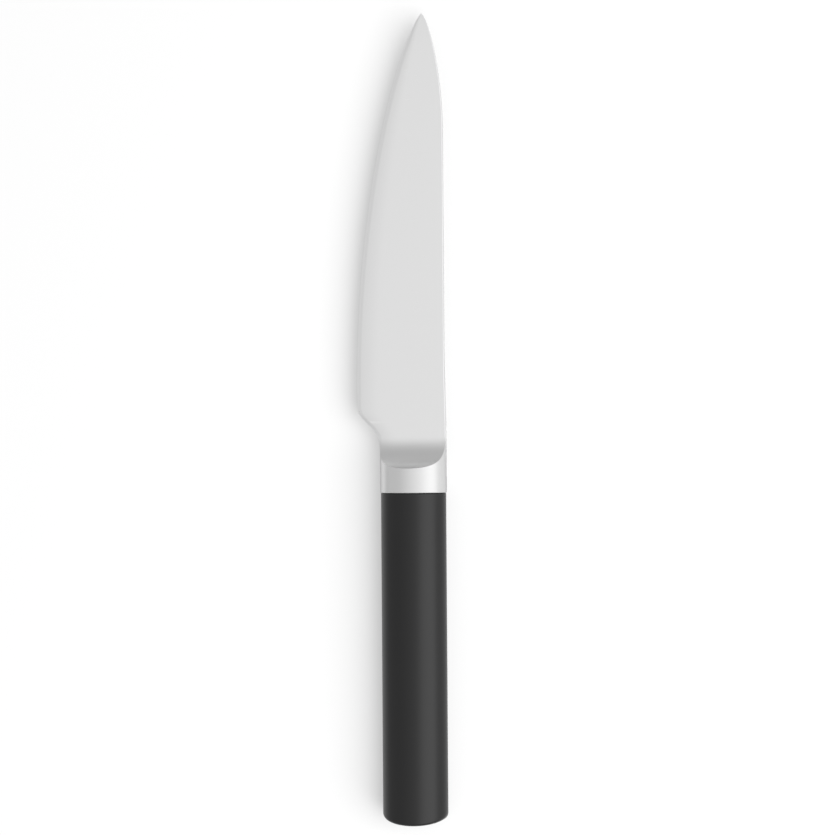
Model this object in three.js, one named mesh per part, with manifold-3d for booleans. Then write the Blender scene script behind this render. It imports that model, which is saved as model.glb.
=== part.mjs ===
// Meat knife: a flat-ground blade with a stick tang, a scalloped bolster brazed onto it, and an
// oval grip over two ribbed half cores that are pinned to the tang.
//
// Millimetres. The knife is drawn along Y, with zero in the joint between bolster and grip, the tip
// towards +Y, the spine towards +X and the blade's normal along Z, all from the axis of the grip.
// The finished group is then set down with the middle of its footprint on the origin.

import * as THREE from "three";
import { mergeVertices } from "three/addons/utils/BufferGeometryUtils.js";
import Module from "manifold-3d";

const wasm = await Module();
wasm.setup();

// Blade outline
const bladeLength = 160; // crown of the bolster to the tip
const spineHeight = 11.3; // straight spine above the axis
const edgeDepth = 20; // straight cutting edge below the axis
const tipHeight = 3.9; // tip above the axis
const tipWidth = 0.3; // blunt end of the tip
const spineDrop = 42; // stretch in which the spine comes down to the tip
const spineLead = 20; // how far the spine keeps its straight line into the drop
const spineTipLead = 4; // how far its last direction reaches back from the tip
const spineTipAngle = 48; // degrees from the axis
const straightEdge = 5.8; // cutting edge that runs straight in front of the heel
const bellyLead = 70; // how far the belly keeps that straight line
const edgeTipLead = 12; // how far its last direction reaches back from the tip
const edgeTipAngle = 40; // degrees from the axis
const heelPlace = 29.9; // where the straight edge ends, in front of the joint
const heelLead = 5; // how far the heel keeps the line of the edge
const choilPlace = 14.5; // where the hollow behind the heel ends on the neck
const choilLead = 9.5; // how far it keeps the line of the neck
const spineFlare = 30; // stretch in which the spine spreads to the bolster

// Blade section
const spineThickness = 2.2; // at the bolster
const grindStock = 0.1; // taken off each face of the blank at the spine
const behindEdge = 0.56; // where the flat grind ends and the edge bevel starts
const edgeBevel = 1.4; // width of the edge bevel
const spineEase = 0.2; // broken corners of the spine

// Tang
const tangWidth = 11; // at the shoulders
const tangEndWidth = 8; // at its round end
const tangEndRoom = 16; // left behind it in the hollow of the grip
const shoulderDepth = 3.2; // of the shoulders, behind the front of the bolster's crown

// Bolster
const bolsterLength = 8.65; // along the crown, from the joint to the scallop
const bolsterWidth = 23.7;
const bolsterThickness = 17.3;
const scallopRadius = 12; // of the hollow that runs from the crown into the blade's face
const scallopSink = 0.02; // how far the hollow is ground below the blade's face
const spigotLength = 4; // the part that fills the mouth of the grip

// Grip
const gripLength = 116.5;
const gripStep = 0.25; // how far the grip lies below the bolster's surface
const gripWall = 2.6;
const buttCrown = 3.4; // how far the butt bulges, looking at the flat of the blade
const buttWall = 6; // from the end of the hollow to the middle of the butt
const buttRound = 1; // rounded rim of the butt

// Half cores and pins
const coreWall = 1.8;
const coreRib = 2.4;
const coreBays = 5; // hollows between the ribs
const pinDiameter = 4;
const pinBoss = 1.6; // wall round a pin
const pinInset = 0.3; // pin end below the outside of the core
const frontPinPlace = 30; // behind the joint
const rearPinMargin = 16; // in front of the end of the tang

// Clearances and eased edges
const brazeGap = 0.05; // between blank and bolster
const jointGap = 0.1; // the line that shows between bolster and grip
const fitGap = 0.15; // between mouldings and what they hold
const edgeEase = 0.3; // on the edges at the joint
const overcut = 2; // how far cutters reach past what they cut

// Fineness of curves
const quarterPoints = 18; // on a quarter of an oval
const bellyStations = 40;
const flareStations = 6;
const arcSteps = 12;
const roundSteps = 4;
const easeSteps = 2;

// Sizes and places that follow
const ovalPoints = 4 * quarterPoints;
const blankThickness = spineThickness + 2 * grindStock;
const neckHalf = (bolsterWidth / 2) * Math.sqrt(1 - (blankThickness / bolsterThickness) ** 2);
const grindWidth = Math.max(neckHalf, spineHeight) + edgeDepth - edgeBevel;
const grindSlope = (spineThickness - behindEdge) / 2 / grindWidth;
const scallopRise = Math.min(bolsterThickness / 2 - faceHeight(0), scallopRadius);
const scallopStart = bolsterLength + Math.sqrt(2 * scallopRadius * scallopRise - scallopRise ** 2);
const bellyStart = heelPlace + straightEdge;
const tipPlace = bolsterLength + bladeLength;
const shoulderPlace = bolsterLength - shoulderDepth;
const gripWidth = bolsterWidth - 2 * gripStep;
const gripThickness = bolsterThickness - 2 * gripStep;
const cavityWidth = gripWidth - 2 * gripWall;
const cavityThickness = gripThickness - 2 * gripWall;
const cavityEnd = gripLength - buttWall;
const coreWidth = cavityWidth - 2 * fitGap;
const coreThickness = cavityThickness - 2 * fitGap;
const coreFront = spigotLength + fitGap;
const coreLength = cavityEnd - fitGap - coreFront;
const tangLength = cavityEnd - tangEndRoom;
const rearPinPlace = tangLength - rearPinMargin;
const pinPlaces = [frontPinPlace, rearPinPlace];
const pinHole = pinDiameter + 2 * fitGap;

// Half thickness of the ground blade at a height above the axis, beside the straight edge
function faceHeight(x) {
  return behindEdge / 2 + grindSlope * (x + edgeDepth - edgeBevel);
}

// A three.js geometry as a solid that can be joined and cut
function solid(geometry) {
  const bare = new THREE.BufferGeometry();
  bare.setAttribute("position", geometry.getAttribute("position"));
  bare.setIndex(geometry.getIndex());
  const merged = mergeVertices(bare);
  return new wasm.Manifold(new wasm.Mesh({
    numProp: 3,
    vertProperties: merged.getAttribute("position").array,
    triVerts: new Uint32Array(merged.getIndex().array),
  }));
}

// A skin over rings that follow each other towards the butt. Each ring is even about the plane of
// the blade: it starts on that plane at the spine and turns by way of +Z, so point i and point
// count - i lie at one height, and the end caps are ladders between them.
function loft(rings) {
  const count = rings[0].length;
  const last = (rings.length - 1) * count;
  const faces = [];
  for (let here = 0; here < last; here += count) {
    const there = here + count;
    for (let i = 0; i < count; i += 1) {
      const next = (i + 1) % count;
      faces.push(here + i, here + next, there + next);
      faces.push(here + i, there + next, there + i);
    }
  }
  for (let i = 0; i < count / 2; i += 1) {
    const next = i + 1;
    const twin = (count - i) % count;
    const nextTwin = count - next;
    if (next !== nextTwin) {
      faces.push(last + i, last + next, last + nextTwin);
      faces.push(i, nextTwin, next);
    }
    if (i !== twin) {
      faces.push(last + i, last + nextTwin, last + twin);
      faces.push(i, twin, nextTwin);
    }
  }
  const geometry = new THREE.BufferGeometry().setFromPoints(rings.flat());
  geometry.setIndex(faces);
  return solid(geometry);
}

// An oval in the plane across the knife
function oval(width, thickness) {
  const shape = new THREE.Shape();
  shape.absellipse(0, 0, width / 2, thickness / 2, 0, 2 * Math.PI);
  return shape;
}

// A section drawn across the knife, from one place along it to another further forward
function alongKnife(section, rear, front, ease = 0) {
  const geometry = new THREE.ExtrudeGeometry(section, {
    depth: front - rear - 2 * ease,
    curveSegments: 2 * quarterPoints,
    bevelEnabled: ease > 0,
    bevelThickness: ease,
    bevelSize: ease,
    bevelOffset: -ease,
    bevelSegments: easeSteps,
  });
  geometry.translate(0, 0, ease);
  geometry.rotateX(Math.PI / 2);
  geometry.translate(0, front, 0);
  return solid(geometry);
}

// An outline in the plane of the blade, made equally thick to both sides
function plate(outline, thickness) {
  const geometry = new THREE.ExtrudeGeometry(outline, {
    depth: thickness,
    curveSegments: 2 * arcSteps,
    bevelEnabled: false,
  });
  geometry.translate(0, 0, -thickness / 2);
  return solid(geometry);
}

// A block that is centred on the axis, from one place along the knife to another
function block(width, thickness, rear, front) {
  const geometry = new THREE.BoxGeometry(width, front - rear, thickness);
  geometry.translate(0, (front + rear) / 2, 0);
  return solid(geometry);
}

// A round bar square to the flat of the blade
function crossBar(place, diameter, length) {
  const geometry = new THREE.CylinderGeometry(diameter / 2, diameter / 2, length, 2 * arcSteps);
  geometry.rotateX(Math.PI / 2);
  geometry.translate(0, -place, 0);
  return solid(geometry);
}

// The spine and the belly run out to the tip on curves that leave their straight stretches smoothly
function curveToTip(height, start, lead, tipSide, tipLead, tipAngle) {
  const angle = THREE.MathUtils.degToRad(tipAngle);
  const end = new THREE.Vector2(tipHeight + tipSide * (tipWidth / 2), tipPlace);
  return new THREE.CubicBezierCurve(
    new THREE.Vector2(height, start),
    new THREE.Vector2(height, start + lead),
    new THREE.Vector2(end.x + tipSide * tipLead * Math.sin(angle), end.y - tipLead * Math.cos(angle)),
    end,
  );
}

const spineStart = tipPlace - spineDrop;
const spineCurve = curveToTip(spineHeight, spineStart, spineLead, 1, spineTipLead, spineTipAngle);
const bellyCurve = curveToTip(-edgeDepth, bellyStart, bellyLead, -1, edgeTipLead, edgeTipAngle);

// Height of such a curve above the axis, found by halving, because it never turns back
function heightAt(curve, place) {
  const finest = 1e-9;
  let low = 0;
  let high = 1;
  while (high - low > finest) {
    const middle = (low + high) / 2;
    if (curve.getPoint(middle).y < place) {
      low = middle;
    } else {
      high = middle;
    }
  }
  return curve.getPoint(high).x;
}

function spineAt(place) {
  if (place > spineStart) {
    return heightAt(spineCurve, place);
  }
  const share = THREE.MathUtils.smoothstep(place, scallopStart, scallopStart + spineFlare);
  return THREE.MathUtils.lerp(neckHalf, spineHeight, share);
}

function edgeAt(place) {
  return place > bellyStart ? heightAt(bellyCurve, place) : -edgeDepth;
}

// The ground blade in section. Its faces spread from the edge bevel to the spine at one angle, so
// the spine gets thinner as the belly rises towards the tip.
function bladeRing(place) {
  const spine = spineAt(place);
  const edge = edgeAt(place);
  const bevel = Math.min(edgeBevel, (spine - edge) / 2);
  const shoulder = edge + bevel;
  const shoulderHalf = (behindEdge / 2) * (bevel / edgeBevel);
  const spineHalf = shoulderHalf + grindSlope * (spine - shoulder);
  const ease = Math.min(spineEase, spineHalf / 2);
  const corner = spine - ease;
  const cornerHalf = shoulderHalf + grindSlope * (corner - shoulder);
  return [
    new THREE.Vector3(spine, place, 0),
    new THREE.Vector3(spine, place, cornerHalf - ease),
    new THREE.Vector3(corner, place, cornerHalf),
    new THREE.Vector3(shoulder, place, shoulderHalf),
    new THREE.Vector3(edge, place, 0),
    new THREE.Vector3(shoulder, place, -shoulderHalf),
    new THREE.Vector3(corner, place, -cornerHalf),
    new THREE.Vector3(spine, place, ease - cornerHalf),
  ];
}

// From the tip, where the rings are closest, back into the neck of the blank
function groundBlade() {
  const rings = [];
  for (let i = 0; i <= bellyStations; i += 1) {
    const share = (i / bellyStations) ** 2;
    rings.push(bladeRing(THREE.MathUtils.lerp(tipPlace, bellyStart, share)));
  }
  for (let i = 1; i <= flareStations; i += 1) {
    rings.push(bladeRing(THREE.MathUtils.lerp(bellyStart, scallopStart, i / flareStations)));
  }
  rings.push(bladeRing((scallopStart + shoulderPlace) / 2));
  return loft(rings);
}

// The tang, from its shoulders to its round end
function addTang(outline, clearance) {
  const endRadius = tangEndWidth / 2;
  outline.lineTo(tangWidth / 2 + clearance, shoulderPlace);
  outline.absarc(0, endRadius - tangLength, endRadius + clearance, 0, -Math.PI, true);
  outline.lineTo(-tangWidth / 2 - clearance, shoulderPlace);
}

// The flat blank behind the blade: a neck that fills the fork of the bolster, and the tang. The
// neck is drawn too wide on the side that the choil cuts.
function blankOutline() {
  const outline = new THREE.Shape();
  outline.moveTo(neckHalf, scallopStart);
  outline.lineTo(neckHalf, shoulderPlace);
  addTang(outline, 0);
  outline.lineTo(-edgeDepth, shoulderPlace);
  outline.lineTo(-edgeDepth, scallopStart);
  return outline;
}

// What is taken off behind the cutting edge: round the heel, into the choil and along the neck
function choilOutline() {
  const far = -edgeDepth - overcut;
  const low = shoulderPlace - overcut;
  const heelHandle = heelPlace - heelLead;
  const choilHandle = choilPlace + choilLead;
  const outline = new THREE.Shape();
  outline.moveTo(far, heelPlace);
  outline.lineTo(-edgeDepth, heelPlace);
  outline.bezierCurveTo(-edgeDepth, heelHandle, -neckHalf, choilHandle, -neckHalf, choilPlace);
  outline.lineTo(-neckHalf, low);
  outline.lineTo(far, low);
  return outline;
}

// The hollow ground into one face of the bolster. It runs out into the flat of the blade.
function scallop(side) {
  const front = scallopStart + 2 * overcut;
  const wall = scallopStart - scallopRadius;
  const top = scallopRadius + bolsterThickness;
  const profile = new THREE.Shape();
  profile.moveTo(front, 0);
  profile.lineTo(scallopStart, 0);
  profile.absarc(scallopStart, scallopRadius, scallopRadius, -Math.PI / 2, -Math.PI, true);
  profile.lineTo(wall, top);
  profile.lineTo(front, top);
  const reach = 2 * (edgeDepth + bolsterWidth);
  const geometry = new THREE.ExtrudeGeometry(profile, {
    depth: reach,
    curveSegments: arcSteps,
    bevelEnabled: false,
  });
  geometry.translate(0, 0, -reach / 2);
  const forward = new THREE.Vector3(0, 1, 0);
  const outward = new THREE.Vector3(0, 0, side);
  const across = new THREE.Vector3(side, 0, 0);
  geometry.applyMatrix4(new THREE.Matrix4().makeBasis(forward, outward, across));
  geometry.rotateY(-side * Math.atan(grindSlope));
  geometry.translate(0, 0, side * (faceHeight(0) - scallopSink));
  return solid(geometry);
}

function blade() {
  const blank = plate(blankOutline(), blankThickness).subtract(scallop(1)).subtract(scallop(-1));
  const choil = plate(choilOutline(), blankThickness + 2 * overcut);
  let body = groundBlade().add(blank).subtract(choil);
  for (const place of pinPlaces) {
    body = body.subtract(crossBar(place, pinHole, blankThickness + 2 * overcut));
  }
  return body;
}

// The collar, forked by the neck of the blank, with a slot for the tang and a spigot behind
function bolster() {
  const slit = blankThickness + 2 * brazeGap;
  const front = scallopStart + overcut;
  const collar = alongKnife(oval(bolsterWidth, bolsterThickness), 0, front, edgeEase);
  const spigot = alongKnife(oval(coreWidth, coreThickness), -spigotLength, bolsterLength / 2);
  const fork = block(2 * bolsterWidth, slit, shoulderPlace - brazeGap, front + overcut);
  const slot = block(tangWidth + 2 * brazeGap, slit, -spigotLength - overcut, bolsterLength);
  const ground = collar.subtract(scallop(1)).subtract(scallop(-1));
  return ground.add(spigot).subtract(fork).subtract(slot);
}

// An oval ring round the grip, drawn in from its surface, at places that may follow the height
function gripRing(inset, placeAt) {
  const ring = [];
  for (let i = 0; i < ovalPoints; i += 1) {
    const angle = (2 * Math.PI * i) / ovalPoints;
    const x = (gripWidth / 2 - inset) * Math.cos(angle);
    const z = (gripThickness / 2 - inset) * Math.sin(angle);
    ring.push(new THREE.Vector3(x, placeAt(x), z));
  }
  return ring;
}

function buttAt(x) {
  return buttCrown * (1 - Math.sqrt(1 - (2 * x / gripWidth) ** 2)) - gripLength;
}

// The sleeve: eased at its mouth, rounded round its crowned butt, and hollow from the mouth
function grip() {
  const rings = [];
  for (let step = 0; step <= roundSteps; step += 1) {
    const angle = (step / roundSteps) * (Math.PI / 2);
    const setBack = edgeEase * (1 - Math.cos(angle));
    rings.push(gripRing(edgeEase * (1 - Math.sin(angle)), () => -jointGap - setBack));
  }
  for (let step = 0; step <= roundSteps; step += 1) {
    const angle = (step / roundSteps) * (Math.PI / 2);
    const setBack = buttRound * (1 - Math.sin(angle));
    rings.push(gripRing(buttRound * (1 - Math.cos(angle)), (x) => buttAt(x) + setBack));
  }
  const cavity = alongKnife(oval(cavityWidth, cavityThickness), -cavityEnd, overcut);
  return loft(rings).subtract(cavity);
}

// Half of the core: a wall with ribs that bear on the tang, and a boss round each pin
function core(side) {
  const rear = -coreFront - coreLength;
  const whole = alongKnife(oval(coreWidth, coreThickness), rear, -coreFront);
  const otherHalf = new THREE.BoxGeometry(2 * coreWidth, 4 * coreLength, 2 * coreThickness);
  otherHalf.translate(0, 0, side * (fitGap / 2 - coreThickness));
  const tangShape = new THREE.Shape();
  tangShape.moveTo(0, shoulderPlace);
  addTang(tangShape, fitGap);
  let body = whole.subtract(solid(otherHalf));
  body = body.subtract(plate(tangShape, blankThickness + 2 * fitGap));
  const bayLength = (coreLength - (coreBays + 1) * coreRib) / coreBays;
  const bayOval = oval(coreWidth - 2 * coreWall, coreThickness - 2 * coreWall);
  for (let i = 0; i < coreBays; i += 1) {
    const bayFront = -coreFront - coreRib - i * (bayLength + coreRib);
    let bay = alongKnife(bayOval, bayFront - bayLength, bayFront);
    for (const place of pinPlaces) {
      bay = bay.subtract(crossBar(place, pinDiameter + 2 * pinBoss, coreThickness));
    }
    body = body.subtract(bay);
  }
  for (const place of pinPlaces) {
    body = body.subtract(crossBar(place, pinHole, coreThickness + overcut));
  }
  return body;
}

function pin(place) {
  return crossBar(place, pinDiameter, coreThickness - 2 * pinInset);
}

const groundSteel = new THREE.MeshStandardMaterial({ color: 0xdddddd, roughness: 0.35, metalness: 1 });
const satinSteel = new THREE.MeshStandardMaterial({ color: 0xd6d6d6, roughness: 0.25, metalness: 1 });
const pinSteel = new THREE.MeshStandardMaterial({ color: 0xb8b8b8, roughness: 0.4, metalness: 1 });
const blackPlastic = new THREE.MeshStandardMaterial({ color: 0x1c1c1d, roughness: 0.45, metalness: 0 });
const corePlastic = new THREE.MeshStandardMaterial({ color: 0x2b2b2d, roughness: 0.6, metalness: 0 });

function piece(name, body, material) {
  const { vertProperties, triVerts } = body.getMesh();
  const geometry = new THREE.BufferGeometry();
  geometry.setAttribute("position", new THREE.BufferAttribute(vertProperties, 3));
  geometry.setIndex(new THREE.BufferAttribute(triVerts, 1));
  geometry.computeVertexNormals();
  const mesh = new THREE.Mesh(geometry, material);
  mesh.name = name;
  return mesh;
}

const knife = new THREE.Group();
knife.add(piece("blade", blade(), groundSteel));
knife.add(piece("bolster", bolster(), satinSteel));
knife.add(piece("core_left", core(1), corePlastic));
knife.add(piece("core_right", core(-1), corePlastic));
knife.add(piece("front_pin", pin(frontPinPlace), pinSteel));
knife.add(piece("rear_pin", pin(rearPinPlace), pinSteel));
knife.add(piece("grip", grip(), blackPlastic));

// Set down on the surface that the knife lies on
const footprint = new THREE.Box3().setFromObject(knife);
const middle = footprint.getCenter(new THREE.Vector3());
knife.position.set(-middle.x, -middle.y, -footprint.min.z);

export default knife;
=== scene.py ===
# %% [markdown]
# # A meat knife, dressed in Blender
#
# The knife lies flat on a white table: a pointed blade of ground stainless steel, a short steel
# bolster with a scallop ground into each face, and an oval black grip. The solids come from CAD, at
# their real size and in their real place. This lesson gives them the surface that a camera sees.
# Every piece is modelled in millimetres along the knife's own axis and then set into the frame.

# %% Load the frame
import math

import bmesh
import bpy
from mathutils import Matrix, Vector
from mathutils.geometry import interpolate_bezier


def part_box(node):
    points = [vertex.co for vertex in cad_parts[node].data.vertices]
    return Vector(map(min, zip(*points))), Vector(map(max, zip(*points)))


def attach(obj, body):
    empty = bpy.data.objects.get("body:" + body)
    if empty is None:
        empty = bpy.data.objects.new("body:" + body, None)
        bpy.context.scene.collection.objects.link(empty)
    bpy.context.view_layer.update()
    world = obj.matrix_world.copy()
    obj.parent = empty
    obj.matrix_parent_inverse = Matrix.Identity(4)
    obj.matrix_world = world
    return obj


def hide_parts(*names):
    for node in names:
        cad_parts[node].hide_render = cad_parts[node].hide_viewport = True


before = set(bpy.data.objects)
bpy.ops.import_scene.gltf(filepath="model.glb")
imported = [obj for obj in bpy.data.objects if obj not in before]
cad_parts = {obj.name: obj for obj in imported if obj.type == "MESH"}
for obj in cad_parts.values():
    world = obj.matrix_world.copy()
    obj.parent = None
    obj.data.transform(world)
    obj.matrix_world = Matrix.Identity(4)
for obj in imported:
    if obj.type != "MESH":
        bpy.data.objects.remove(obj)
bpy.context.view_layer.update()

# %% [markdown]
# ## Where the knife lies
#
# The joint between bolster and grip is a good zero: the maker measures from there, and so does the
# CAD. Its place and the overall sizes are read from the boxes of the CAD nodes, so the pieces made
# here follow the frame. A matrix then takes millimetres from the joint to metres in the frame.

# %% Zero at the joint
MM = 0.001
JOINT_GAP = 0.1

grip_low, grip_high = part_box("grip")
bolster_low, bolster_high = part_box("bolster")
blade_low, blade_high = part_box("blade")
grip_size = (grip_high - grip_low) / MM
bolster_size = (bolster_high - bolster_low) / MM

joint = (grip_low + grip_high) / 2
joint.y = grip_high.y + JOINT_GAP * MM
from_joint = Matrix.Translation(joint) @ Matrix.Scale(MM, 4)
tip_place = (blade_high.y - joint.y) / MM
butt_place = (joint.y - grip_low.y) / MM
edge_depth = (joint.x - blade_low.x) / MM
print(f"tip {tip_place:.1f} mm before the joint, butt {butt_place:.1f} mm behind it")

# %% [markdown]
# ## From a bmesh to a piece
#
# Each piece ends the same way. Doubled corners are merged, because a ring that shrinks to a point
# leaves some, and the normals are made to point outwards. The mesh is moved into the frame, so the
# object itself stays at the origin. Holes that nobody sees are cut with a Boolean modifier, whose
# result is then kept as the mesh. Faces are smooth, and an edge stays crisp where two faces meet at
# more than a given angle.

# %% Finish a piece
MERGE_DISTANCE = 1e-4


def to_object(name, bm):
    bmesh.ops.recalc_face_normals(bm, faces=bm.faces)
    bmesh.ops.transform(bm, matrix=from_joint, verts=bm.verts)
    mesh = bpy.data.meshes.new(name)
    bm.to_mesh(mesh)
    bm.free()
    made = bpy.data.objects.new(name, mesh)
    bpy.context.collection.objects.link(made)
    return made


def cut_out(piece, cutter):
    cut = piece.modifiers.new("cut", "BOOLEAN")
    cut.object = cutter
    graph = bpy.context.evaluated_depsgraph_get()
    piece.data = bpy.data.meshes.new_from_object(piece.evaluated_get(graph))
    piece.modifiers.clear()
    bpy.data.objects.remove(cutter)


def finish_piece(name, bm, node, crisp_angle, cutter=None):
    bmesh.ops.remove_doubles(bm, verts=bm.verts, dist=MERGE_DISTANCE)
    piece = to_object(name, bm)
    if cutter:
        cut_out(piece, to_object("cutter", cutter))
    piece.data.shade_smooth()
    piece.data.set_sharp_from_angle(angle=math.radians(crisp_angle))
    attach(piece, "root")
    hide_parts(node)
    print(name, "has", len(piece.data.polygons), "faces")
    return piece


# %% [markdown]
# ## Drawing out a ring
#
# Blade, bolster and grip are all lofts: a section that changes as it runs along the knife. Blender
# has no loft operator, but extruding a ring of edges and moving the new ring into place does the
# same, one station at a time. The first ring is filled, and the last one too unless work goes on
# there.

# %% Loft by extruding a ring
def loft(sections, close_end=True):
    bm = bmesh.new()
    ring = [bm.verts.new(point) for point in sections[0]]
    edges = [bm.edges.new(pair) for pair in zip(ring, ring[1:] + ring[:1])]
    bmesh.ops.edgeloop_fill(bm, edges=edges)
    for section in sections[1:]:
        made = bmesh.ops.extrude_edge_only(bm, edges=edges)["geom"]
        corners = {item for item in made if isinstance(item, bmesh.types.BMVert)}
        ring = [next(e.other_vert(v) for e in v.link_edges if e.other_vert(v) in corners) for v in ring]
        for corner, point in zip(ring, section):
            corner.co = point
        edges = [bm.edges.get(pair) for pair in zip(ring, ring[1:] + ring[:1])]
    if close_end:
        bmesh.ops.edgeloop_fill(bm, edges=edges)
    return bm


# %% [markdown]
# ## The grip
#
# The grip is a sleeve moulded in black plastic: oval in section, straight along its length, eased
# where it meets the bolster and rounded round a butt that bulges a little. The loft starts at the
# bottom of the hollow, comes out at the mouth, turns over the eased rim and runs back along the
# outside to the butt, so hollow and skin are one closed shell. A spin can't make an oval, and a
# stretched spin would stretch the rounded rim with it, so each ring is drawn with its own inset.
# An extra ring close behind each rounding keeps the light on the long sides even.

# %% Model the grip
OVAL_POINTS = 240
GRIP_WALL = 2.6
BUTT_WALL = 6
BUTT_CROWN = 3.4
BUTT_ROUND = 1.0
RIM_EASE = 0.3
ROUND_STEPS = 6
BUTT_RINGS = 8

even_turns = [2 * math.pi * step / OVAL_POINTS for step in range(OVAL_POINTS)]
quarter_turn = [math.pi / 2 * step / ROUND_STEPS for step in range(ROUND_STEPS + 1)]


def oval(width, thickness, turns, place_at):
    points = []
    for turn in turns:
        x = width / 2 * math.cos(turn)
        points.append(Vector((x, place_at(x), thickness / 2 * math.sin(turn))))
    return points


def grip_ring(inset, place_at):
    return oval(grip_size.x - 2 * inset, grip_size.z - 2 * inset, even_turns, place_at)


def butt_at(x):
    return BUTT_CROWN * (1 - math.sqrt(1 - (2 * x / grip_size.x) ** 2)) - butt_place


grip_sections = [
    grip_ring(GRIP_WALL, lambda x: BUTT_WALL - butt_place),
    grip_ring(GRIP_WALL, lambda x: -JOINT_GAP),
]
for turn in quarter_turn:
    set_back = RIM_EASE * (1 - math.cos(turn))
    grip_sections.append(grip_ring(RIM_EASE * (1 - math.sin(turn)), lambda x: -JOINT_GAP - set_back))
grip_sections.append(grip_ring(0, lambda x: -JOINT_GAP - 2 * RIM_EASE))
grip_sections.append(grip_ring(0, lambda x: butt_at(x) + 2 * BUTT_ROUND))
for turn in quarter_turn:
    lift = BUTT_ROUND * (1 - math.sin(turn))
    grip_sections.append(grip_ring(BUTT_ROUND * (1 - math.cos(turn)), lambda x: butt_at(x) + lift))
for step in range(1, BUTT_RINGS):
    share = 1 - step / BUTT_RINGS
    flat = grip_size - Vector((2 * BUTT_ROUND, 0, 2 * BUTT_ROUND))
    grip_sections.append(oval(share * flat.x, share * flat.z, even_turns, butt_at))

grip = finish_piece("moulded_grip", loft(grip_sections), "grip", crisp_angle=35)

# %% [markdown]
# ## The blade's outline
#
# Seen from its flat, the blade has a straight spine that drops to the tip, and a cutting edge that
# runs straight from the heel and then curves up as the belly. Both curves leave their straight line
# smoothly, which is what a Bezier curve does when its handle lies on that line. Each side is written
# as a height above the axis for a place along the knife, because the loft asks for exactly that.

# %% Spine and belly
SPINE_HEIGHT = 11.3
TIP_HEIGHT = 3.9
TIP_WIDTH = 0.15
SPINE_DROP = 42
SPINE_LEADS = (20, 4)
SPINE_TIP_ANGLE = 48
BELLY_LEADS = (70, 12)
BELLY_TIP_ANGLE = 40
HEEL_PLACE = 29.9
STRAIGHT_EDGE = 5.8
CURVE_POINTS = 400


def curve_to_tip(height, start, leads, side, tip_angle):
    lead, tip_lead = leads
    angle = math.radians(tip_angle)
    end = Vector((TIP_HEIGHT + side * TIP_WIDTH / 2, tip_place))
    back = Vector((side * math.sin(angle), -math.cos(angle))) * tip_lead
    return interpolate_bezier((height, start), (height, start + lead), end + back, end, CURVE_POINTS)


def height_on(curve, place):
    for low, high in zip(curve, curve[1:]):
        if high.y >= place:
            share = (place - low.y) / (high.y - low.y)
            return low.x + share * (high.x - low.x)
    return curve[-1].x


belly_start = HEEL_PLACE + STRAIGHT_EDGE
spine_start = tip_place - SPINE_DROP
spine_curve = curve_to_tip(SPINE_HEIGHT, spine_start, SPINE_LEADS, 1, SPINE_TIP_ANGLE)
belly_curve = curve_to_tip(-edge_depth, belly_start, BELLY_LEADS, -1, BELLY_TIP_ANGLE)
print(f"spine drops from {spine_start:.1f} mm, belly curves from {belly_start:.1f} mm")

# %% [markdown]
# ## The grind, the scallop and the choil
#
# A flat grind is a wedge: both faces run straight from the spine to just behind the edge. The
# bolster's scallop is part of a cylinder that a grinding wheel leaves. It starts on the flat of the
# blade and rises to the crown of the bolster, so its place follows from its radius and from the
# height of the crown. The choil, the finger hollow behind the heel, is one more Bezier curve, from
# the straight edge into the straight neck.

# %% Places along the blade
CROWN_PLACE = 8.65
SCALLOP_RADIUS = 12
SHOULDER_PLACE = 5.45
CHOIL_PLACE = 14.5
CHOIL_LEAD = 9.5
HEEL_LEAD = 5
SPINE_FLARE = 30
SPINE_THICKNESS = 2.2
BLANK_HALF = 1.2
BRAZE_GAP = 0.05
BEHIND_EDGE = 0.56
EDGE_BEVEL = 1.4

neck_film = BLANK_HALF + BRAZE_GAP
neck_half = bolster_size.x / 2 * math.sqrt(1 - (2 * BLANK_HALF / bolster_size.z) ** 2)
grind_slope = (SPINE_THICKNESS - BEHIND_EDGE) / 2 / (neck_half + edge_depth - EDGE_BEVEL)


def flat_at(x):
    return BEHIND_EDGE / 2 + grind_slope * (x + edge_depth - EDGE_BEVEL)


def scallop_run(rise):
    return math.sqrt(2 * SCALLOP_RADIUS * rise - rise**2)


scallop_start = CROWN_PLACE + scallop_run(bolster_size.z / 2 - flat_at(0))
neck_end = Vector((-neck_half, CHOIL_PLACE))
heel_end = Vector((-edge_depth, HEEL_PLACE))
neck_handle = neck_end + Vector((0, CHOIL_LEAD))
heel_handle = heel_end - Vector((0, HEEL_LEAD))
choil_curve = interpolate_bezier(neck_end, neck_handle, heel_handle, heel_end, CURVE_POINTS)
print(f"scallop from {CROWN_PLACE} to {scallop_start:.2f} mm, neck {2 * neck_half:.2f} mm wide")


def spine_at(place):
    if place > spine_start:
        return height_on(spine_curve, place)
    share = min(max((place - scallop_start) / SPINE_FLARE, 0), 1)
    share = share * share * (3 - 2 * share)
    return neck_half + share * (SPINE_HEIGHT - neck_half)


def edge_line_at(place):
    return height_on(belly_curve, place) if place > belly_start else -edge_depth


def outline_at(place):
    if place > HEEL_PLACE:
        return edge_line_at(place)
    return height_on(choil_curve, place) if place > CHOIL_PLACE else -neck_half


# %% [markdown]
# ## The blade's section
#
# The section is drawn once, as a half that is repeated on the other side. From below it has the
# cutting edge, or the wall of the choil with its softened corner, then the bevel, the flat face and
# a spine with broken corners. The bevel narrows with the blade towards the tip. The grinder blends
# it into the face: the column next to it is wide and its edge is not crisp, so the light turns over
# it softly. Near the bolster the sections stand askew. Each row there lies at one share of the way
# to the seam, so the last row follows the seam between blade and bolster and no face crosses it.
# There the lower end of a section and its place depend on each other, and a few rounds settle both.

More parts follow.
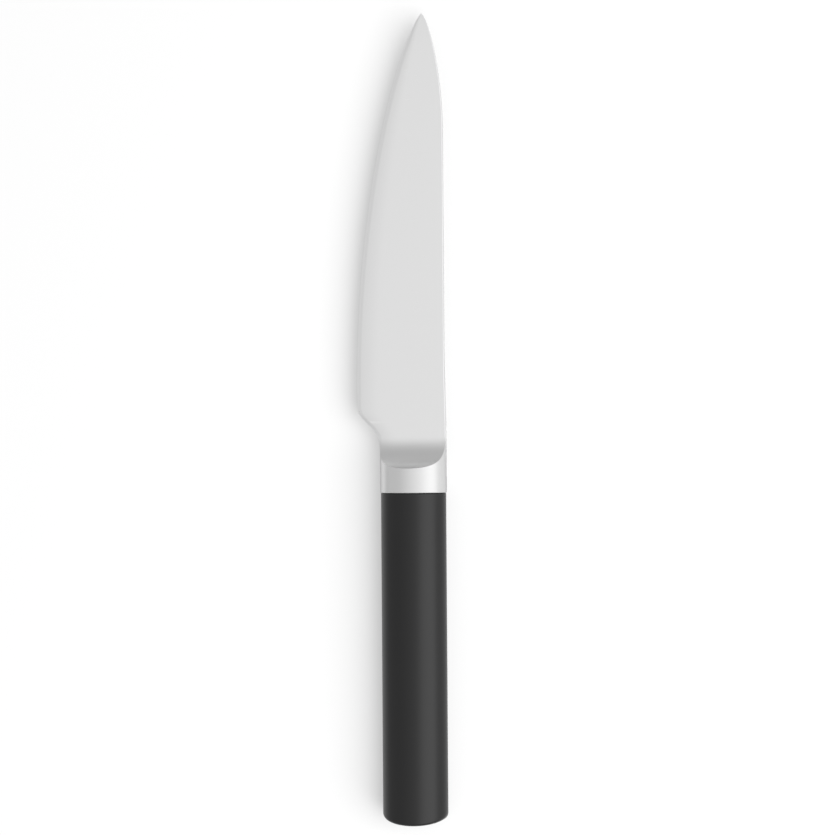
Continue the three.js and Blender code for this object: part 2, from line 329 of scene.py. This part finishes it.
# %% Section of the blade
SPINE_EASE = 0.2
CHOIL_CHAMFER = 1.5
CHAMFER_DEPTH = 0.32
BEVEL_STOP = 0.9
BEVEL_SHARE = 0.16
FACE_COLUMNS = (0, 0.2, 0.4, 0.6, 0.8, 1)
EASE_TURNS = (30, 60, 90)
SETTLING_ROUNDS = 8


def bevel_at(place):
    return min(EDGE_BEVEL, BEVEL_SHARE * (spine_at(place) - edge_line_at(place)))


def half_thickness(x, place, thickest):
    above = x - edge_line_at(place)
    bevel = bevel_at(place)
    behind = BEHIND_EDGE / 2 * bevel / EDGE_BEVEL
    if above < bevel:
        return behind * above / bevel
    into = min(max(scallop_start - place, 0), SCALLOP_RADIUS)
    hollow = SCALLOP_RADIUS - math.sqrt(SCALLOP_RADIUS**2 - into**2)
    return min(behind + grind_slope * (above - bevel) + hollow, thickest)


def blade_section(place, share=0, thickest=neck_film):
    def at(x):
        return place - share * scallop_run(max(neck_film - flat_at(x), 0))

    def half_at(x):
        return half_thickness(x, at(x), thickest)

    low, top = outline_at(place), spine_at(place)
    for _ in range(SETTLING_ROUNDS):
        low = outline_at(at(low))
    chamfer = (1 - share) * CHOIL_CHAMFER if place < HEEL_PLACE else 0
    first = max(edge_line_at(place) + bevel_at(place), low + chamfer)
    low_half = max(min(half_at(low), half_at(first) - (1 - share) * CHAMFER_DEPTH), 0)
    ease = (1 - share) * min(SPINE_EASE, half_at(top) / 2)
    last = top - ease
    half = [(low, 0), (low, low_half)]
    half.append((low + BEVEL_STOP * (first - low), low_half + BEVEL_STOP * (half_at(first) - low_half)))
    for column in FACE_COLUMNS:
        x = first + (last - first) * column
        half.append((x, half_at(x)))
    for turn in EASE_TURNS:
        angle = math.radians(turn)
        half.append((last + ease * math.sin(angle), half_at(last) - ease * (1 - math.cos(angle))))
    half.append((top, 0))
    return [Vector((x, at(x), z)) for x, z in half + [(x, -z) for x, z in half[-2:0:-1]]]


# %% [markdown]
# ## The blade and its tang
#
# Stations stand close at the tip and in the choil, where the outline turns, and wide where it is
# straight. Behind the seam the neck has the thickness of the blank and fills the fork of the
# bolster. Behind its shoulders it goes on as a tang in the grip, with a hole for each pin. The pins
# themselves stay as CAD made them, so the holes take their places from the pins' boxes.

# %% Model the blade
TANG_WIDTH = 11
TANG_END_WIDTH = 8
TANG_END_ROOM = 16
PIN_HOLE = 4.3
HOLE_DEPTH = 8
HOLE_SIDES = 48
BELLY_STATIONS = 80
TIP_CROWDING = 1.8
STRAIGHT_STATIONS = 4
CHOIL_STEP = 8
SCALLOP_ROWS = 12


def tang_section(place, width):
    flat = blade_section(scallop_start, 1, BLANK_HALF)
    low, high = min(point.x for point in flat), max(point.x for point in flat)
    middle, share = (low + high) / 2, width / (high - low)
    return [Vector(((point.x - middle) * share, place, point.z)) for point in flat]


def stations(start, end, count, crowding=1):
    return [start + (end - start) * (step / count) ** crowding for step in range(count)]


places = stations(tip_place, belly_start, BELLY_STATIONS, TIP_CROWDING)
places += stations(belly_start, HEEL_PLACE, STRAIGHT_STATIONS)
places += [point.y for point in reversed(choil_curve[::CHOIL_STEP]) if point.y > scallop_start]
blade_sections = [blade_section(place) for place in places]
for row in range(SCALLOP_ROWS + 1):
    blade_sections.append(blade_section(scallop_start, row / SCALLOP_ROWS))
blade_sections.append(blade_section(scallop_start, 1, BLANK_HALF))

tang_end = TANG_END_ROOM + BUTT_WALL - butt_place
end_radius = TANG_END_WIDTH / 2
blade_sections.append(tang_section(SHOULDER_PLACE, 2 * neck_half))
blade_sections.append(tang_section(SHOULDER_PLACE, TANG_WIDTH))
blade_sections.append(tang_section(tang_end + end_radius, TANG_END_WIDTH))
for turn in quarter_turn[1:-1]:
    end_place = tang_end + end_radius * (1 - math.sin(turn))
    blade_sections.append(tang_section(end_place, TANG_END_WIDTH * math.cos(turn)))

holes = bmesh.new()
for node in ("front_pin", "rear_pin"):
    low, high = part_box(node)
    centre = Matrix.Translation(((low + high) / 2 - joint) / MM)
    bmesh.ops.create_cone(
        holes,
        cap_ends=True,
        segments=HOLE_SIDES,
        radius1=PIN_HOLE / 2,
        radius2=PIN_HOLE / 2,
        depth=HOLE_DEPTH,
        matrix=centre,
    )
bm = loft(blade_sections)
blade = finish_piece("ground_blade", bm, "blade", crisp_angle=15, cutter=holes)

# %% [markdown]
# ## The bolster
#
# The bolster is an oval collar, forked to take the neck of the blade and scalloped on both faces.
# It starts as a loft: a spigot that fills the mouth of the grip, the rear face, a rounded rim and
# the collar up to the shoulders. The rim is a third of a millimetre, and still it draws the fine
# bright line before the black grip. The points of its ovals are set so that four of them fall on
# the corners of the slit.

# %% Model the collar
SPIGOT_LENGTH = 4
SPIGOT_GAP = 0.15
ARM_STEPS = 121
SIDE_STEPS = 4

slit_turn = math.asin(2 * neck_film / bolster_size.z)
fork_turns = stations(slit_turn, math.pi - slit_turn, ARM_STEPS)
fork_turns += stations(math.pi - slit_turn, math.pi + slit_turn, SIDE_STEPS)
fork_turns += [turn + math.pi for turn in fork_turns]
fork_floor = SHOULDER_PLACE - BRAZE_GAP


def collar_ring(inset, place):
    return oval(bolster_size.x - 2 * inset, bolster_size.z - 2 * inset, fork_turns, lambda x: place)


spigot_inset = (bolster_size.x - grip_size.x) / 2 + GRIP_WALL + SPIGOT_GAP
collar_sections = [collar_ring(spigot_inset, -SPIGOT_LENGTH), collar_ring(spigot_inset, 0)]
for turn in quarter_turn:
    collar_sections.append(collar_ring(RIM_EASE * (1 - math.sin(turn)), RIM_EASE * (1 - math.cos(turn))))
collar_sections.append(collar_ring(0, 2 * RIM_EASE))
collar_sections.append(collar_ring(0, fork_floor))
bm = loft(collar_sections, close_end=False)
print("collar:", len(bm.faces), "faces")

# %% [markdown]
# ## Fork and scallop
#
# From the open end only the parts above and below the slit go on, and each of their corners stops
# where it meets the scallop. Bridging the two sides of such a fork arm lays the scallop between
# them, and its rungs are cut finer and moved onto the cylinder. A Boolean cut would also do it, but
# would leave slivers where the smooth light on the crown shows them. Then the walls and the floor
# of the slit are filled, and a slot is cut for the tang. It is a little thinner than the slit, so
# that no two faces lie in one plane.

# %% Model the fork
RUNG_CUTS = 7
SLOT_LENGTH = 16
NEAR = 1e-3


def edges_where(chosen):
    return [edge for edge in bm.edges if all(chosen(corner.co) for corner in edge.verts)]


def move_to_scallop(corners):
    for corner in corners:
        corner.co.y = scallop_start - scallop_run(max(abs(corner.co.z) - flat_at(corner.co.x), 0))


rungs = []
for side in (1, -1):
    arm = edges_where(lambda co: co.y > fork_floor - NEAR and side * co.z > neck_film - NEAR)
    made = bmesh.ops.extrude_edge_only(bm, edges=arm)["geom"]
    move_to_scallop(item for item in made if isinstance(item, bmesh.types.BMVert))
    border = edges_where(lambda co: co.y > fork_floor + NEAR and side * co.z > 0)
    rails = [edge for edge in border if edge.verts[0].co.x * edge.verts[1].co.x > 0]
    rungs += bmesh.ops.bridge_loops(bm, edges=rails)["edges"]
bmesh.ops.subdivide_edges(bm, edges=rungs, cuts=RUNG_CUTS, use_grid_fill=True)
move_to_scallop(corner for corner in bm.verts if corner.co.y > fork_floor + NEAR)

for side in (1, -1):
    slit = side * neck_film
    ends = [v for v in bm.verts if abs(v.co.y - fork_floor) < NEAR and abs(v.co.z - slit) < NEAR]
    bmesh.ops.contextual_create(bm, geom=ends)
    wall = edges_where(lambda co: co.y > fork_floor - NEAR and abs(co.z - slit) < NEAR)
    bmesh.ops.edgeloop_fill(bm, edges=wall)
floor = edges_where(lambda co: abs(co.y - fork_floor) < NEAR and abs(co.z) < neck_film + NEAR)
bmesh.ops.edgeloop_fill(bm, edges=floor)

slot = bmesh.new()
slot_size = Vector((TANG_WIDTH + 2 * BRAZE_GAP, SLOT_LENGTH, 2 * BLANK_HALF + BRAZE_GAP, 1))
bmesh.ops.create_cube(slot, size=1, matrix=Matrix.Diagonal(slot_size))
bolster = finish_piece("scalloped_bolster", bm, "bolster", crisp_angle=30, cutter=slot)

# %% [markdown]
# ## Tools for materials
#
# Colours are written as they look on a screen, and the shader wants them linear, so one function
# converts them. A second adds a node with its settings and links. A third lays a noise over the
# object whose grains have a size in millimetres, one size for each axis: long and thin grains are
# the lines of a grindstone, round ones are the grain of a moulding. It reads Object coordinates, so
# the pattern keeps its real size and stays with the piece. Such a pattern does two things to a
# surface: it spreads the gloss more in some places than in others, and it gives a faint relief.

# %% Material tools
def linear(hex_colour):
    channels = [int(hex_colour[i:i + 2], 16) / 255 for i in (1, 3, 5)]
    return tuple(c / 12.92 if c <= 0.04045 else ((c + 0.055) / 1.055) ** 2.4 for c in channels) + (1,)


def add(tree, kind, settings=None, links=None):
    node = tree.nodes.new(kind)
    for name, value in (settings or {}).items():
        if isinstance(name, int) or name in node.inputs:
            node.inputs[name].default_value = value
        else:
            setattr(node, name, value)
    for name, source in (links or {}).items():
        tree.links.new(source, node.inputs[name])
    return node


def new_material(name):
    material = bpy.data.materials.new(name)
    material.use_nodes = True
    material.node_tree.nodes.clear()
    return material, material.node_tree


def grain(tree, sizes):
    place = add(tree, "ShaderNodeTexCoord").outputs["Object"]
    scale = [1 / (size * MM) for size in sizes]
    stretched = add(tree, "ShaderNodeMapping", {"Scale": scale}, {"Vector": place})
    settings = {"Scale": 1.0, "Detail": 2.0}
    return add(tree, "ShaderNodeTexNoise", settings, {"Vector": stretched.outputs[0]}).outputs["Fac"]


def worked(tree, pattern, smoothest, roughest, depth):
    gloss = add(tree, "ShaderNodeMapRange", {"To Min": smoothest, "To Max": roughest}, {"Value": pattern})
    relief = add(tree, "ShaderNodeBump", {"Strength": 1.0, "Distance": depth * MM}, {"Height": pattern})
    return {"Roughness": gloss.outputs[0], "Normal": relief.outputs[0]}


def surface(tree, settings, links):
    shader = add(tree, "ShaderNodeBsdfPrincipled", settings, links)
    add(tree, "ShaderNodeOutputMaterial", links={"Surface": shader.outputs[0]})


def dress(piece, material):
    piece.data.materials.clear()
    piece.data.materials.append(material)
    print(piece.name, "wears", material.name)


# %% [markdown]
# ## Steel
#
# The blade is ground across, from spine to edge, to a fine satin. The lines are a few hundredths of
# a millimetre wide, far too fine for this camera, so they are drawn ten times coarser and very
# faint. To the eye they give a pale, soft sheen without a sharp mirror image. The bolster is
# polished round its collar and a little darker. Both lose some light where they are seen at a flat
# angle, the bolster more, which the specular tint does. The scallop runs over both pieces, so both
# materials change along it in the same way and no seam shows: from the pale blade to the darker
# collar along its length, and to a paler grey on the steep end, where it faces along the knife.
# That paler grey is a painted reflection. The pins are drawn wire, with lines along their length.

# %% Steel materials
# The steep end of the scallop, whose normal points along the knife, gets a painted reflection: its grey
# is made paler there to stand in for mirrored light.
BLADE_GREY = "#EAEAEA"
COLLAR_GREY = "#D7D7D7"
PAINTED_REFLECTION_GREY = "#F8F8F8"
PAINTED_REFLECTION_RANGE = (0.71, 0.84)


def stainless(name, sizes, depth, flat_angle_grey):
    material, tree = new_material(name)
    surroundings = add(tree, "ShaderNodeTexCoord").outputs
    along = add(tree, "ShaderNodeSeparateXYZ", links={"Vector": surroundings["Object"]}).outputs["Y"]
    steep = add(tree, "ShaderNodeSeparateXYZ", links={"Vector": surroundings["Normal"]}).outputs["Y"]
    scallop_range = (joint.y + scallop_start * MM, joint.y + CHOIL_PLACE * MM)
    # The first change goes from blade grey to collar grey along the knife. The second is painted
    # reflection, a paler grey where the scallop faces along the knife.
    changes = ((along, scallop_range, COLLAR_GREY), (steep, PAINTED_REFLECTION_RANGE, PAINTED_REFLECTION_GREY))
    before = {}
    for source, (first, last), grey in changes:
        soft = {"interpolation_type": "SMOOTHSTEP", "From Min": first, "From Max": last}
        share = add(tree, "ShaderNodeMapRange", soft, {"Value": source}).outputs[0]
        # A Mix node has its colours on sockets 6 and 7 and gives the mixed one on output 2.
        greys = {"data_type": "RGBA", 6: linear(BLADE_GREY), 7: linear(grey)}
        mixed = add(tree, "ShaderNodeMix", greys, {0: share, **before}).outputs[2]
        before = {6: mixed}
    lines = worked(tree, grain(tree, sizes), smoothest=0.25, roughest=0.35, depth=depth)
    settings = {"Metallic": 1.0, "Specular Tint": linear(flat_angle_grey)}
    surface(tree, settings, {"Base Color": mixed, **lines})
    return material


blade_steel = stainless(
    "satin_ground_stainless_steel", sizes=(12, 0.4, 0.4), depth=0.0004, flat_angle_grey="#ECECEC"
)
bolster_steel = stainless(
    "satin_polished_stainless_steel", sizes=(15, 0.4, 15), depth=0.0003, flat_angle_grey="#D6D6D6"
)
dress(blade, blade_steel)
dress(bolster, bolster_steel)

pin_steel, tree = new_material("drawn_steel_wire")
lines = worked(tree, grain(tree, sizes=(0.2, 0.2, 4)), smoothest=0.3, roughest=0.5, depth=0.002)
surface(tree, {"Base Color": linear("#B8B8B8"), "Metallic": 1.0}, lines)
for name in ("front_pin", "rear_pin"):
    dress(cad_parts[name], pin_steel)

# %% [markdown]
# ## Plastic
#
# The grip comes out of a mould with a fine satin skin. It looks black with a broad soft sheen where
# it faces the light, so the colour is dark and the gloss is spread by a middling roughness and by
# a grain of a third of a millimetre. The cores are hidden. They are a plainer moulding in dark grey.

# %% Plastic materials
grip_plastic, tree = new_material("black_satin_polypropylene")
fine_grain = grain(tree, sizes=(0.35, 0.35, 0.35))
skin = worked(tree, fine_grain, smoothest=0.3, roughest=0.4, depth=0.0012)
surface(tree, {"Base Color": linear("#0A0A0B"), "IOR": 1.46}, skin)
dress(grip, grip_plastic)

core_plastic, tree = new_material("grey_moulded_polypropylene")
coarse_grain = grain(tree, sizes=(1.2, 3, 1.2))
skin = worked(tree, coarse_grain, smoothest=0.5, roughest=0.65, depth=0.01)
surface(tree, {"Base Color": linear("#2B2B2D")}, skin)
for name in ("core_left", "core_right"):
    dress(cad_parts[name], core_plastic)

# %% [markdown]
# ## The table
#
# The knife lies on a plain white table, and the photo shows nothing of it but a soft shadow on the
# side of the cutting edge. A table of white paint would throw much light up under the knife. This
# one is a grey board that takes little light and glows a little, but only to the camera and in
# reflections, so it looks white, keeps the shadow and leaves the flanks of the knife calm.

# %% Table
TABLE_HALF = 5.0
TABLE_GLOW = 0.44

bm = bmesh.new()
bmesh.ops.create_grid(bm, x_segments=1, y_segments=1, size=TABLE_HALF)
mesh = bpy.data.meshes.new("table")
bm.to_mesh(mesh)
bm.free()
table = bpy.data.objects.new("table", mesh)
bpy.context.collection.objects.link(table)

board, tree = new_material("matt_white_board")
path = add(tree, "ShaderNodeLightPath").outputs
seen = path["Is Camera Ray"]
for ray in ("Is Glossy Ray", "Is Transmission Ray"):
    seen = add(tree, "ShaderNodeMath", {"operation": "MAXIMUM"}, {0: seen, 1: path[ray]}).outputs[0]
glow = add(tree, "ShaderNodeMath", {"operation": "MULTIPLY", 1: TABLE_GLOW}, {0: seen}).outputs[0]
settings = {"Base Color": linear("#898989"), "Roughness": 1.0, "Specular IOR Level": 0.0}
settings["Emission Color"] = (1, 1, 1, 1)
surface(tree, settings, {"Emission Strength": glow})
dress(table, board)

# %% [markdown]
# ## The softbox
#
# A large softbox hangs over the spine, nearer to the butt. It throws the shadow, and the black grip
# mirrors it as a broad stripe. The dark board needs far more light than the grip, so the box hangs
# there twice, and light linking gives each lamp the one thing that it lights. The steel gets its
# light from the tent that is built next. Angles are in degrees, sizes in metres, powers in watts.

# %% Softboxes
BOX_CLIMB = 50
BOX_TURN = -20
BOX_DISTANCE = 2.4
BOX_SIZE = 2.2
BOX_POWERS = ((table, 140), (grip, 14))

climb = Matrix.Rotation(math.radians(-BOX_CLIMB), 3, "Y")
swing = Matrix.Rotation(math.radians(BOX_TURN), 3, "Z")
for lit, power in BOX_POWERS:
    lamp = bpy.data.lights.new(f"softbox_for_{lit.name}", "AREA")
    lamp.size = BOX_SIZE
    lamp.energy = power
    softbox = bpy.data.objects.new(lamp.name, lamp)
    softbox.location = swing @ climb @ Vector((BOX_DISTANCE, 0, 0))
    softbox.rotation_euler = softbox.location.to_track_quat("Z", "Y").to_euler()
    bpy.context.collection.objects.link(softbox)
    receivers = bpy.data.collections.new(lamp.name)
    receivers.objects.link(lit)
    softbox.light_linking.receiver_collection = receivers
    print(lamp.name, power, "W")

# %% [markdown]
# ## The light tent
#
# A light tent is a white cloth all round the object: bright overhead, brighter on the side of its
# big lamp, and never dark. Here the cloth is the world. Its brightness is an even part plus a few
# soft glows, each the cosine of the angle to a direction, raised to a power that sets its width.
# A row gives the direction, the brightness and the power. Steel shows the tent as it is, so the
# glows are what shapes the blade, the scallop and the crown.

# %% World
EVEN_LIGHT = 0.59
GLOWS = [
    ((0, 0, 1), 0.38, 5.5),
    ((0.82, 0, 0.57), 0.92, 4.5),
    ((-0.91, 0, 0.42), 0.14, 12),
    ((0, 1, 0), 0.07, 10),
    ((0, -1, 0), 0.4, 8),
]

world = bpy.data.worlds.new("light_tent")
bpy.context.scene.world = world
world.use_nodes = True
tree = world.node_tree
tree.nodes.clear()
direction = add(tree, "ShaderNodeTexCoord").outputs["Generated"]
before = {}
for towards, glow, power in GLOWS:
    facing = add(tree, "ShaderNodeVectorMath", {"operation": "DOT_PRODUCT", 1: towards}, {0: direction})
    ahead = add(tree, "ShaderNodeMath", {"operation": "MAXIMUM", 1: 0.0}, {0: facing.outputs["Value"]})
    shaped = add(tree, "ShaderNodeMath", {"operation": "POWER", 1: power}, {0: ahead.outputs[0]})
    settings = {"operation": "MULTIPLY_ADD", 1: glow, 2: EVEN_LIGHT}
    strength = add(tree, "ShaderNodeMath", settings, {0: shaped.outputs[0], **before}).outputs[0]
    before = {2: strength}
cloth = add(tree, "ShaderNodeBackground", {"Color": (1, 1, 1, 1)}, {"Strength": strength})
add(tree, "ShaderNodeOutputWorld", links={"Surface": cloth.outputs[0]})
bpy.context.scene.view_settings.view_transform = "Standard"
print("light tent with", len(GLOWS), "glows")

# %% [markdown]
# ## The camera
#
# The photo was taken from above and a little from the side of the spine: the spine's wall shows, and
# the cutting edge has no wall to show. It was taken from far off, which keeps the grip as wide at the
# butt as at the bolster. The camera is placed by one known point, the joint, and by the size of a pixel.

# %% Camera
PHOTO_WIDTH = 839
PHOTO_HEIGHT = 835
PHOTO_SCALE = 0.35225
JOINT_PIXEL = (413.55, 492.6)
VIEW_ROLL = 11
IMAGE_TILT = 0.4
CAMERA_DISTANCE = 1000
SENSOR_WIDTH = 36

roll = math.radians(VIEW_ROLL)
tilt = math.radians(IMAGE_TILT)
back = Vector((math.sin(roll), 0, math.cos(roll)))
level_right = Vector((math.cos(roll), 0, -math.sin(roll)))
level_up = Vector((0, 1, 0))
right = level_right * math.cos(tilt) - level_up * math.sin(tilt)
up = level_up * math.cos(tilt) + level_right * math.sin(tilt)
aside = (PHOTO_WIDTH / 2 - JOINT_PIXEL[0]) * PHOTO_SCALE * MM
ahead = (JOINT_PIXEL[1] - PHOTO_HEIGHT / 2) * PHOTO_SCALE * MM
target = joint + right * aside + up * ahead

lens = bpy.data.cameras.new("camera")
lens.sensor_width = SENSOR_WIDTH
lens.lens = SENSOR_WIDTH * CAMERA_DISTANCE / (PHOTO_WIDTH * PHOTO_SCALE)
camera = bpy.data.objects.new("camera", lens)
turned = Matrix((right, up, back)).transposed().to_4x4()
camera.matrix_world = Matrix.Translation(target + back * CAMERA_DISTANCE * MM) @ turned
bpy.context.collection.objects.link(camera)
bpy.context.scene.camera = camera
print("lens", round(lens.lens, 1), "mm")
